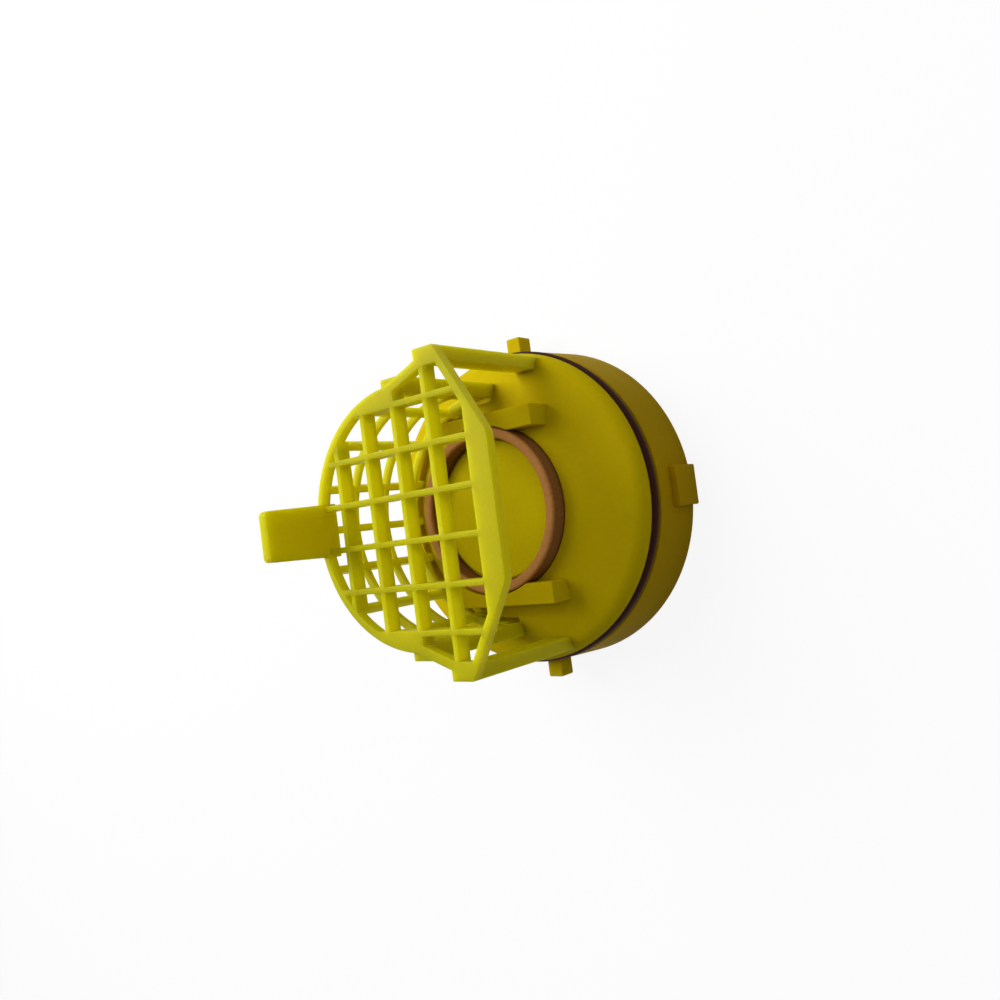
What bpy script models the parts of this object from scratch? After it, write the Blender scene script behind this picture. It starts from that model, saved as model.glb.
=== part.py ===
"""Round queen cage: a sealed two-part drum with a stopper, and an open-sided mesh basket on its front.

The cage stands on the flat back of its drum. Z runs along the drum's axis, from the back cap to the
basket's grid. The finger tab is at -X, the open side of the basket at +X, the two straps at +Y and -Y.
Every piece that moves turns about the Z axis or slides along it, so every origin lies on that axis.
"""
import math

import bmesh
import bpy
from mathutils import Matrix, Vector

MM = 0.001

# Gaps and roundness
GAP = 0.3 * MM
OVERLAP = 0.05 * MM
ROUND_STEPS = 64
SMALL_ROUND_STEPS = 48

# The joint between the two halves of the drum, and its ring
SEAL_RADIUS = 20.0 * MM
SEAL_PLANE = 8.45 * MM
SEAL_THICKNESS = 1.3 * MM
SEAL_WIDTH = 1.9 * MM
JOINT_WIDTH = 1.8 * MM

# The back cap, with its grip lugs and its locking pins
CAP_RADIUS = 20.3 * MM
CAP_RIM_RADIUS = 20.0 * MM
CAP_WALL = 1.5 * MM
CAP_FLOOR = 1.8 * MM
CAP_EDGE_ROUND = 0.4 * MM
CAP_TOP = SEAL_PLANE - JOINT_WIDTH / 2
LUG_WIDTH = 4.9 * MM
LUG_RISE = 0.65 * MM
LUG_LENGTH = 5.0 * MM
PIN_WIDTH = 1.9 * MM
PIN_DEPTH = 2.2 * MM
PIN_TIP = 22.5 * MM
PIN_HEIGHT = SEAL_PLANE - 4.0 * MM

# The front shell: a shallow cone with a rounded shoulder and a groove for the basket's feet
SHELL_RIM_RADIUS = 19.7 * MM
SHELL_RIM_BOTTOM = SEAL_PLANE + JOINT_WIDTH / 2
SHELL_WALL = 1.8 * MM
CONE_ANGLE = math.radians(18.0)
CONE_TOP_RADIUS = 10.5 * MM
CONE_TOP = SEAL_PLANE + 5.15 * MM
SHOULDER_ROUND = 2.2 * MM
GROOVE_SPAN = math.radians(185.0)

# The twist lock that holds the two halves of the drum together
LOCK_COUNT = 3
LEDGE_SPAN = math.radians(68.0)
LEDGE_RADIUS = 17.2 * MM
LEDGE_THICKNESS = 1.6 * MM
KEY_SPAN = math.radians(30.0)
KEY_RADIUS = 18.2 * MM
KEY_THICKNESS = 1.6 * MM
NECK_RADIUS = 17.8 * MM
SKIRT_RADIUS = 16.8 * MM
SKIRT_WALL = 1.6 * MM
SKIRT_BOTTOM = SEAL_PLANE - 4.75 * MM

# The guide rails on the cone, one on each side of the stopper
RAIL_LEFT = -5.9 * MM
RAIL_RIGHT = 8.8 * MM
RAIL_INNER = 9.25 * MM
RAIL_OUTER = 11.85 * MM
RAIL_TOP = SEAL_PLANE + 7.35 * MM

# The stopper and its ring
STOPPER_RADIUS = 8.75 * MM
STOPPER_TOP = CONE_TOP + 0.1 * MM
STOPPER_ROUND = 0.3 * MM
STOPPER_SEAL_INNER = 9.1 * MM
STOPPER_SEAL_OUTER = 10.35 * MM
STOPPER_SEAL_TOP = SEAL_PLANE + 7.3 * MM
STOPPER_SEAL_ROUND = 0.3 * MM
FLANGE_THICKNESS = 1.0 * MM
FLANGE_TOP = CONE_TOP - 0.7 * MM
FLANGE_BOTTOM = FLANGE_TOP - FLANGE_THICKNESS
STOPPER_BORE = STOPPER_SEAL_OUTER + GAP
SEAT_TOP = FLANGE_BOTTOM - GAP
SEAT_BOTTOM = SEAL_PLANE + 1.95 * MM
SEAT_RADIUS = 9.4 * MM
SPIGOT_WALL = 1.3 * MM

# The feed inside the drum
CANDY_RADIUS = 14.7 * MM
CANDY_THICKNESS = 2.9 * MM
CANDY_ROUND = 0.8 * MM

# The basket: a flat grid, a half-round mesh wall, two straps and a tab
GRID_FRONT = SEAL_PLANE + 21.1 * MM
GRID_DEPTH = 2.0 * MM
GRID_BACK = GRID_FRONT - GRID_DEPTH
MESH_PITCH = 5.13 * MM
RIB_WIDTH = 0.7 * MM
BASKET_RADIUS = 15.0 * MM
RIM_WIDTH = 0.9 * MM
RIM_DEPTH = 1.3 * MM
RIM_ARC = (math.radians(93.0), math.radians(178.0))
WALL_RADIUS = BASKET_RADIUS - OVERLAP
WALL_THICKNESS = 1.0 * MM
WALL_BEND_STEPS = 4
UPRIGHT_WIDTH = 0.9 * MM
HOOP_COUNT = 3
FOOT_DEPTH = 1.1 * MM
STRAP_LEFT = 4.2 * MM
STRAP_RIGHT = 7.2 * MM
STRAP_INNER = 16.9 * MM
STRAP_OUTER = 18.1 * MM
FRONT_BAR_LEFT = 10.3 * MM
FRONT_BAR_RIGHT = 13.2 * MM
FRONT_BAR_ROUND = 2.4 * MM
FRONT_BAR_LEAN = math.radians(30.0)
POST_LEFT = -1.4 * MM
POST_RIGHT = 1.0 * MM
POST_INNER = 14.2 * MM
POST_OUTER = 16.0 * MM
TAB_TIP = GRID_FRONT + 8.5 * MM
TAB_ROOT_WIDTH = 6.5 * MM
TAB_TIP_WIDTH = 5.9 * MM
TAB_THICKNESS = 1.4 * MM
TAB_ROUND = 0.8 * MM

# Colours
YELLOW_BASKET = (0.50, 0.45, 0.012)
YELLOW_DRUM = (0.46, 0.36, 0.008)
BROWN_SEAL = (0.055, 0.026, 0.014)
COPPER_RING = (0.38, 0.17, 0.075)
CANDY_WHITE = (0.83, 0.78, 0.66)


def clear_scene():
    """Empties the scene that the model is built in."""
    for item in list(bpy.data.objects):
        bpy.data.objects.remove(item, do_unlink=True)


def finish(name, colour, roughness):
    """Returns a plain moulded finish of one colour."""
    material = bpy.data.materials.new(name)
    material.use_nodes = True
    shader = material.node_tree.nodes["Principled BSDF"]
    shader.inputs["Base Color"].default_value = (*colour, 1.0)
    shader.inputs["Roughness"].default_value = roughness
    return material


def solid(name, shape, material=None):
    """Turns a bmesh into a named object whose faces point outwards."""
    bmesh.ops.remove_doubles(shape, verts=shape.verts, dist=1e-7)
    bmesh.ops.recalc_face_normals(shape, faces=shape.faces)
    mesh = bpy.data.meshes.new(name)
    shape.to_mesh(mesh)
    shape.free()
    mesh.shade_smooth()
    mesh.set_sharp_from_angle(angle=math.radians(30.0))
    item = bpy.data.objects.new(name, mesh)
    bpy.context.scene.collection.objects.link(item)
    if material:
        mesh.materials.append(material)
    return item


def combine(target, tool, operation):
    """Joins a tool to an object, or cuts the object with it, and hides the tool."""
    tool.hide_render = True
    tool.display_type = "WIRE"
    step = target.modifiers.new(f"{operation.lower()}_{tool.name}", "BOOLEAN")
    step.operation = operation
    step.solver = "EXACT"
    step.object = tool


def arc(centre, radius, start, end, steps):
    """Returns points along a circular arc, both ends included."""
    points = []
    for index in range(steps + 1):
        angle = start + (end - start) * index / steps
        points.append((centre[0] + radius * math.cos(angle), centre[1] + radius * math.sin(angle)))
    return points


def turned(name, profile, material=None, steps=ROUND_STEPS):
    """Spins a closed profile of radius and height about the Z axis."""
    shape = bmesh.new()
    corners = [shape.verts.new((radius, 0.0, height)) for radius, height in profile]
    edges = [shape.edges.new((corners[i - 1], corners[i])) for i in range(len(corners))]
    bmesh.ops.spin(shape, geom=corners + edges, axis=(0, 0, 1), cent=(0, 0, 0),
                   angle=2 * math.pi, steps=steps, use_merge=True)
    bmesh.ops.remove_doubles(shape, verts=shape.verts, dist=1e-7)
    on_axis = [edge for edge in shape.edges if not edge.link_faces]
    bmesh.ops.delete(shape, geom=on_axis, context="EDGES")
    return solid(name, shape, material)


def thickened(name, shape, faces, shift):
    """Extrudes flat faces by moving their copies with a function, and closes the solid."""
    grown = bmesh.ops.extrude_face_region(shape, geom=faces)["geom"]
    for part in grown:
        if isinstance(part, bmesh.types.BMVert):
            part.co = shift(part.co)
    return solid(name, shape)


def extruded(name, outline, bottom, top):
    """Extrudes a flat outline in the XY plane from one height to another."""
    shape = bmesh.new()
    face = shape.faces.new([shape.verts.new((x, y, bottom)) for x, y in outline])
    return thickened(name, shape, [face], lambda point: Vector((point.x, point.y, top)))


def block(name, low, high, turn=0.0):
    """Makes a box between two corners, turned about the Z axis."""
    size = Vector(high) - Vector(low)
    place = Matrix.Translation((Vector(low) + Vector(high)) / 2) @ Matrix.Diagonal((*size, 1.0))
    shape = bmesh.new()
    bmesh.ops.create_cube(shape, size=1.0, matrix=Matrix.Rotation(turn, 4, "Z") @ place)
    return solid(name, shape)


def sector(name, inner, outer, bottom, top, middle, span):
    """Makes a piece of a flat ring around an angle."""
    steps = math.ceil(math.degrees(span) / 6)
    ends = (middle - span / 2, middle + span / 2)
    outline = arc((0, 0), outer, *ends, steps) + arc((0, 0), inner, *reversed(ends), steps)
    return extruded(name, outline, bottom, top)


def lock_angles():
    """Returns the middle angles of the ledges of the twist lock."""
    return [math.pi + 2 * math.pi * index / LOCK_COUNT for index in range(LOCK_COUNT)]


def cone_height(radius, rise=0.0):
    """Returns the height of the shell's cone at a radius, raised square to its surface."""
    return CONE_TOP - (radius - CONE_TOP_RADIUS) * math.tan(CONE_ANGLE) + rise / math.cos(CONE_ANGLE)


def shoulder(rise=0.0):
    """Returns the rounded edge of the shell, from its rim up to its cone."""
    radius = SHOULDER_ROUND + rise
    across = SHELL_RIM_RADIUS - SHOULDER_ROUND
    lean = math.pi / 2 - CONE_ANGLE
    meets = across + SHOULDER_ROUND * math.cos(lean)
    centre = (across, cone_height(meets) - SHOULDER_ROUND * math.sin(lean))
    start = math.asin((SHELL_RIM_BOTTOM - centre[1]) / radius)
    return arc(centre, radius, start, lean, 6)


def make_back_cap(material):
    """The rear cup, with its grip lugs, its pins and the ledges of the twist lock."""
    inner = CAP_RIM_RADIUS - CAP_WALL
    bite = CAP_RIM_RADIUS - CAP_WALL / 2
    corner = (CAP_RADIUS - CAP_EDGE_ROUND, CAP_EDGE_ROUND)
    profile = [(0.0, CAP_FLOOR), (0.0, 0.0)]
    profile += arc(corner, CAP_EDGE_ROUND, -math.pi / 2, 0.0, 4)
    profile += [(CAP_RIM_RADIUS, CAP_TOP), (inner, CAP_TOP), (inner, CAP_FLOOR)]
    cap = turned("back_cap", profile, material)
    for index, angle in enumerate(lock_angles()):
        ledge = sector(f"cap_ledge_{index}", LEDGE_RADIUS, bite, CAP_TOP - LEDGE_THICKNESS,
                       CAP_TOP - OVERLAP, angle, LEDGE_SPAN)
        combine(cap, ledge, "UNION")
    for index, turn in enumerate((0.0, math.pi)):
        low = (bite, -LUG_WIDTH / 2, CAP_EDGE_ROUND / 2)
        high = (CAP_RADIUS + LUG_RISE, LUG_WIDTH / 2, LUG_LENGTH)
        combine(cap, block(f"cap_lug_{index}", low, high, turn), "UNION")
    for index, turn in enumerate((math.pi / 2, -math.pi / 2)):
        low = (bite, -PIN_WIDTH / 2, PIN_HEIGHT - PIN_DEPTH / 2)
        high = (PIN_TIP, PIN_WIDTH / 2, PIN_HEIGHT + PIN_DEPTH / 2)
        combine(cap, block(f"cap_pin_{index}", low, high, turn), "UNION")


def make_main_seal(material):
    """The brown ring that closes the joint of the drum."""
    half = SEAL_THICKNESS / 2
    inner = SEAL_RADIUS - SEAL_WIDTH
    profile = [(inner, SEAL_PLANE + half), (inner, SEAL_PLANE - half)]
    profile += arc((SEAL_RADIUS - half, SEAL_PLANE), half, -math.pi / 2, math.pi / 2, 6)
    turned("main_seal", profile, material)


def make_front_shell(material):
    """The cone-fronted half of the drum, with its skirt, lock keys, guide rails and basket groove."""
    under = SHELL_WALL / math.cos(CONE_ANGLE)
    neck_bottom = CAP_TOP + GAP
    skirt_inner = SKIRT_RADIUS - SKIRT_WALL
    boss = STOPPER_BORE + SHELL_WALL
    profile = [(NECK_RADIUS, SHELL_RIM_BOTTOM)] + shoulder()
    profile += [(STOPPER_BORE, cone_height(STOPPER_BORE)), (STOPPER_BORE, SEAT_TOP)]
    profile += [(SEAT_RADIUS, SEAT_TOP), (SEAT_RADIUS, SEAT_BOTTOM), (boss, SEAT_BOTTOM)]
    profile += [(boss, cone_height(boss) - under), (skirt_inner, cone_height(skirt_inner) - under)]
    profile += [(skirt_inner, SKIRT_BOTTOM), (SKIRT_RADIUS, SKIRT_BOTTOM)]
    profile += [(SKIRT_RADIUS, neck_bottom), (NECK_RADIUS, neck_bottom)]
    shell = turned("front_shell", profile, material)
    key_top = CAP_TOP - LEDGE_THICKNESS - GAP
    for index, angle in enumerate(lock_angles()):
        key = sector(f"shell_key_{index}", SKIRT_RADIUS - SKIRT_WALL / 2, KEY_RADIUS,
                     key_top - KEY_THICKNESS, key_top, angle, KEY_SPAN)
        combine(shell, key, "UNION")
    for index, side in enumerate((1, -1)):
        combine(shell, make_guide_rail(index, side), "UNION")
    groove = sector("shell_groove", WALL_RADIUS - WALL_THICKNESS - GAP, WALL_RADIUS + GAP,
                    wall_bottom() - GAP, CONE_TOP, math.pi, GROOVE_SPAN)
    combine(shell, groove, "DIFFERENCE")


def make_guide_rail(index, side):
    """One rail beside the stopper, hollowed to clear the stopper's ring."""
    near, far = sorted((RAIL_INNER * side, RAIL_OUTER * side))
    bottom = cone_height(RAIL_OUTER) - SHELL_WALL / 2
    rail = block(f"shell_rail_{index}", (RAIL_LEFT, near, bottom), (RAIL_RIGHT, far, RAIL_TOP))
    reach = STOPPER_BORE + OVERLAP
    clearance = turned(f"rail_clearance_{index}", [(0, 0), (reach, 0), (reach, GRID_FRONT), (0, GRID_FRONT)])
    combine(rail, clearance, "DIFFERENCE")
    return rail


def make_stopper(material):
    """The plug in the middle of the cone: a head, a flange for its ring and a hollow spigot."""
    spigot = SEAT_RADIUS - GAP
    hollow = spigot - SPIGOT_WALL
    hollow_top = FLANGE_TOP - SPIGOT_WALL
    corner = (STOPPER_RADIUS - STOPPER_ROUND, STOPPER_TOP - STOPPER_ROUND)
    profile = [(0.0, STOPPER_TOP), (0.0, hollow_top), (hollow, hollow_top), (hollow, SEAT_BOTTOM)]
    profile += [(spigot, SEAT_BOTTOM), (spigot, FLANGE_BOTTOM), (STOPPER_SEAL_OUTER, FLANGE_BOTTOM)]
    profile += [(STOPPER_SEAL_OUTER, FLANGE_TOP), (STOPPER_RADIUS, FLANGE_TOP)]
    profile += arc(corner, STOPPER_ROUND, 0.0, math.pi / 2, 2)
    turned("stopper", profile, material, SMALL_ROUND_STEPS)


def make_stopper_seal(material):
    """The copper-brown ring around the stopper's head."""
    bottom = FLANGE_TOP + GAP
    top = STOPPER_SEAL_TOP - STOPPER_SEAL_ROUND
    profile = [(STOPPER_SEAL_INNER, bottom), (STOPPER_SEAL_OUTER, bottom)]
    profile += arc((STOPPER_SEAL_OUTER - STOPPER_SEAL_ROUND, top), STOPPER_SEAL_ROUND, 0.0, math.pi / 2, 2)
    profile += arc((STOPPER_SEAL_INNER + STOPPER_SEAL_ROUND, top), STOPPER_SEAL_ROUND, math.pi / 2, math.pi, 2)
    turned("stopper_seal", profile, material, SMALL_ROUND_STEPS)


def make_candy_cake(material):
    """The cake of feed on the floor of the drum."""
    bottom = CAP_FLOOR + GAP
    crown = (CANDY_RADIUS - CANDY_ROUND, bottom + CANDY_THICKNESS - CANDY_ROUND)
    profile = [(0.0, bottom + CANDY_THICKNESS), (0.0, bottom), (CANDY_RADIUS, bottom)]
    profile += arc(crown, CANDY_ROUND, 0.0, math.pi / 2, 3)
    turned("candy_cake", profile, material, SMALL_ROUND_STEPS)


def mirrored(upper):
    """Closes an upper outline, given from right to left, with its image across the X axis."""
    return upper + [(x, -y) for x, y in reversed(upper)]


def grid_outline():
    """Returns the outer edge of the basket's front: a half circle, two strap ends and a flat bar."""
    bend = STRAP_OUTER - (FRONT_BAR_RIGHT - STRAP_RIGHT) / math.tan(FRONT_BAR_LEAN)
    corner = (FRONT_BAR_RIGHT - FRONT_BAR_ROUND, bend - FRONT_BAR_ROUND * math.tan(FRONT_BAR_LEAN / 2))
    upper = arc(corner, FRONT_BAR_ROUND, 0.0, FRONT_BAR_LEAN, 3)
    upper += [(STRAP_RIGHT, STRAP_OUTER), (STRAP_LEFT, STRAP_OUTER), (STRAP_LEFT, STRAP_INNER)]
    upper += arc((0, 0), BASKET_RADIUS, *RIM_ARC, 14)
    return mirrored(upper)


def grid_opening(grow=0.0):
    """Returns the inner edge of the rim around the basket's front, which keeps one width beside the bar."""
    width = RIM_WIDTH - grow
    lean = math.tan(FRONT_BAR_LEAN)
    slant = STRAP_RIGHT + STRAP_OUTER * lean - width / math.cos(FRONT_BAR_LEAN)
    right = FRONT_BAR_LEFT + grow
    top = STRAP_INNER - width
    upper = [(right, (slant - right) / lean), (slant - top * lean, top), (STRAP_LEFT + width, top)]
    upper += arc((0, 0), BASKET_RADIUS - width, *RIM_ARC, 14)
    return mirrored(upper)


def bands(low, high, middles, width, cuts=1):
    """Splits a stretch into strips around their middles, with the gaps between them in equal cuts.

    Returns the edges in order, and for each interval between them whether it is part of a strip.
    """
    edges = [low]
    strip = []
    for middle in list(middles) + [high + width]:
        start = edges[-1]
        end = min(middle - width / 2, high)
        if end > start:
            edges += [start + (end - start) * cut / cuts for cut in range(1, cuts + 1)]
            strip += [False] * cuts
        if middle < high + width / 2:
            edges.append(min(middle + width / 2, high))
            strip.append(True)
    return edges, strip


def lattice(name, across, along, place, shift):
    """Makes crossing strips as one solid, open in every gap.

    across and along come from bands. place puts a pair of edges in space, and shift moves a point
    from the front of the lattice to its back.
    """
    across_edges, across_strip = across
    along_edges, along_strip = along
    shape = bmesh.new()
    points = [[shape.verts.new(place(a, b)) for b in along_edges] for a in across_edges]
    faces = []
    for i, solid_across in enumerate(across_strip):
        for j, solid_along in enumerate(along_strip):
            if solid_across or solid_along:
                corners = (points[i][j], points[i + 1][j], points[i + 1][j + 1], points[i][j + 1])
                faces.append(shape.faces.new(corners))
    loose = [vert for vert in shape.verts if not vert.link_faces]
    bmesh.ops.delete(shape, geom=loose, context="VERTS")
    return thickened(name, shape, faces, shift)


def make_grid_lattice():
    """The square lattice of the front, cut to the outline of the rim that holds it."""
    reach = FRONT_BAR_RIGHT + BASKET_RADIUS
    front = GRID_FRONT - OVERLAP
    back = GRID_BACK + OVERLAP
    ribs = bands(-reach, reach, [MESH_PITCH * step for step in range(-2, 2)], RIB_WIDTH)
    bars = bands(-reach, reach, [MESH_PITCH * (step + 0.5) for step in range(-3, 3)], RIB_WIDTH)
    grid = lattice("grid_lattice", ribs, bars, lambda x, y: (x, y, front),
                   lambda point: Vector((point.x, point.y, back)))
    field = extruded("grid_field", grid_opening(RIM_WIDTH / 4), GRID_BACK - GAP, GRID_FRONT + GAP)
    combine(grid, field, "INTERSECT")
    return grid


def wall_bottom():
    """Returns the height of the feet of the wall, sunk in the groove of the shell."""
    return cone_height(WALL_RADIUS) - FOOT_DEPTH


def wall_angles():
    """Returns the angles of the uprights, half a mesh off the bars of the front where the wall faces left."""
    side = [math.asin(MESH_PITCH * step / BASKET_RADIUS) for step in (1, 2)]
    side.append((side[-1] + math.pi / 2) / 2)
    return sorted([math.pi] + [math.pi + angle for angle in side] + [math.pi - angle for angle in side])


def make_wall():
    """The half-round mesh wall, with hoops a mesh apart and the feet of its uprights in the shell."""
    top = GRID_FRONT - RIM_DEPTH / 2
    width = UPRIGHT_WIDTH / WALL_RADIUS
    uprights = bands(math.pi / 2, 3 * math.pi / 2, wall_angles(), width, WALL_BEND_STEPS)
    hoops = [GRID_FRONT - RIB_WIDTH / 2 - MESH_PITCH * step for step in range(HOOP_COUNT, 0, -1)]
    inner = 1 - WALL_THICKNESS / WALL_RADIUS
    return lattice(
        "basket_wall", uprights, bands(wall_bottom(), top, hoops, RIB_WIDTH),
        lambda angle, height: (WALL_RADIUS * math.cos(angle), WALL_RADIUS * math.sin(angle), height),
        lambda point: Vector((point.x * inner, point.y * inner, point.z)))


def make_runner(name, left, right, inner, outer, side):
    """A straight member along the axis, from the grid down to the shoulder of the shell."""
    low, high = sorted((inner * side, outer * side))
    runner = block(name, (left, low, SHELL_RIM_BOTTOM), (right, high, GRID_FRONT - OVERLAP))
    contour = [(0.0, 0.0), (SHELL_RIM_RADIUS + GAP, 0.0)] + shoulder(GAP) + [(0.0, cone_height(0.0, GAP))]
    combine(runner, turned(f"{name}_seat", contour), "DIFFERENCE")
    return runner


def make_tab():
    """The finger tab, which carries the wall on past the grid."""
    root = GRID_BACK + OVERLAP
    tip = TAB_TIP_WIDTH / 2 - TAB_ROUND
    right = arc((tip, TAB_TIP - TAB_ROUND), TAB_ROUND, 0.0, math.pi / 2, 3)
    outline = [(TAB_ROOT_WIDTH / 2, root)] + right
    outline += [(-y, z) for y, z in reversed(outline)]
    shape = bmesh.new()
    face = shape.faces.new([shape.verts.new((-WALL_RADIUS, y, z)) for y, z in outline])
    return thickened("basket_tab", shape, [face], lambda point: point + Vector((TAB_THICKNESS, 0, 0)))


def make_cage_basket(material):
    """The basket, moulded in one: rim, grid, wall, straps, edge posts and tab."""
    rim = extruded("cage_basket", grid_outline(), GRID_FRONT - RIM_DEPTH, GRID_FRONT)
    rim.data.materials.append(material)
    opening = extruded("grid_opening", grid_opening(), GRID_BACK - GAP, GRID_FRONT + GAP)
    combine(rim, opening, "DIFFERENCE")
    combine(rim, make_grid_lattice(), "UNION")
    combine(rim, make_wall(), "UNION")
    for index, side in enumerate((1, -1)):
        strap = make_runner(f"basket_strap_{index}", STRAP_LEFT, STRAP_RIGHT, STRAP_INNER, STRAP_OUTER, side)
        combine(rim, strap, "UNION")
        post = make_runner(f"basket_post_{index}", POST_LEFT, POST_RIGHT, POST_INNER, POST_OUTER, side)
        combine(rim, post, "UNION")
    combine(rim, make_tab(), "UNION")


def main():
    """Builds the whole cage."""
    clear_scene()
    make_back_cap(finish("cap_yellow", YELLOW_DRUM, 0.42))
    make_main_seal(finish("seal_brown", BROWN_SEAL, 0.6))
    make_front_shell(finish("shell_yellow", YELLOW_DRUM, 0.42))
    make_stopper(finish("stopper_yellow", YELLOW_DRUM, 0.42))
    make_stopper_seal(finish("ring_copper_brown", COPPER_RING, 0.55))
    make_candy_cake(finish("candy_white", CANDY_WHITE, 0.8))
    make_cage_basket(finish("basket_yellow", YELLOW_BASKET, 0.42))


main()
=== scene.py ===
"""Moulded finish and studio stage for a round queen cage with a mesh basket.

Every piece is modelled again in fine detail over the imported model, in metres, with +Z along the drum.
"""
import math

import bmesh
import bpy
from mathutils import Matrix, Vector


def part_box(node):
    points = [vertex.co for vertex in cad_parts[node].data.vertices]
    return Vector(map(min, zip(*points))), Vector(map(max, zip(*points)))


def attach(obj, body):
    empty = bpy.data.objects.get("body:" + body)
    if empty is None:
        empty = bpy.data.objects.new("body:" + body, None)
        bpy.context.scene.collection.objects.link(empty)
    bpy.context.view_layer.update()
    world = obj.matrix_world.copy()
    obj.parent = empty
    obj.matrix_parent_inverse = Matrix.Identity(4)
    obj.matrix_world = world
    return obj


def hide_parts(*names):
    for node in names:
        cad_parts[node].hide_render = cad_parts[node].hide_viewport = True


bl_info = {
    "name": "Queen cage finish",
    "version": (1, 0, 0),
    "blender": (4, 5, 0),
    "location": "View3D > Sidebar > Queen Cage",
    "description": "Models the drum, the stopper and the mesh basket of a queen cage with moulded finishes",
    "category": "Object",
}

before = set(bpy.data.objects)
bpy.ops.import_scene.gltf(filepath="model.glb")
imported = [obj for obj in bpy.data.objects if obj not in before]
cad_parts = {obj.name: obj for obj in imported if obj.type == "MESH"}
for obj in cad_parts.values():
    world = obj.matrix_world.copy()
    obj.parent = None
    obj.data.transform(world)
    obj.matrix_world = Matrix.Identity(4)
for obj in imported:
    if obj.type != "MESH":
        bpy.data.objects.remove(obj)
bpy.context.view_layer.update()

MM = 0.001
FULL_TURN = 2 * math.pi
WHITE = (1.0, 1.0, 1.0, 1.0)

# Fineness of the curves
TURN_STEPS = 160
RIM_STEPS = 40
WEB_STEPS = 32
SHOULDER_STEPS = 12
SEAL_STEPS = 10
BEND_STEPS = 6
ROUND_SEGMENTS = 4
EDGE_SEGMENTS = 2

# Angles above which an edge is shaded sharp, and above which it is rounded
SHARP_ANGLE = math.radians(38.0)
CORNER_ANGLE = math.radians(40.0)

# Distances below which points are merged, in metres
MERGE = 1e-7
SEAM_MERGE = 1e-6
TINY = 4e-6

# Places of the mesh's members, counted in mesh pitches
CROSS_RIBS = (-2.5, -1.5, -0.5, 0.5, 1.5, 2.5)
RIBS = (-2, -1, 0, 1)
UPRIGHTS = (1, 2)
HOOPS = (1, 2, 3)

# Middle angles of the ledges and keys of the twist lock
LOCK_ANGLES = (math.pi / 3, math.pi, 5 * math.pi / 3)

JOINT_HEIGHT = sum(corner[2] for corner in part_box("main_seal")) / 2
RING_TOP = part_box("stopper_seal")[1][2]
TAB_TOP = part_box("cage_basket")[1][2]


def length(name, description, millimetres):
    """Returns a length property, given in millimetres."""
    return bpy.props.FloatProperty(
        name=name, description=description, default=millimetres * MM, unit="LENGTH", precision=5)


def angle(name, description, degrees):
    """Returns an angle property, given in degrees."""
    return bpy.props.FloatProperty(
        name=name, description=description, default=math.radians(degrees), subtype="ANGLE")


def share(name, description, value):
    """Returns a property between 0 and 1."""
    return bpy.props.FloatProperty(
        name=name, description=description, default=value, min=0.0, max=1.0, subtype="FACTOR")


def colour(name, description, value):
    """Returns a colour property."""
    return bpy.props.FloatVectorProperty(
        name=name, description=description, default=value, size=3, min=0.0, max=1.0, subtype="COLOR")


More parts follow.
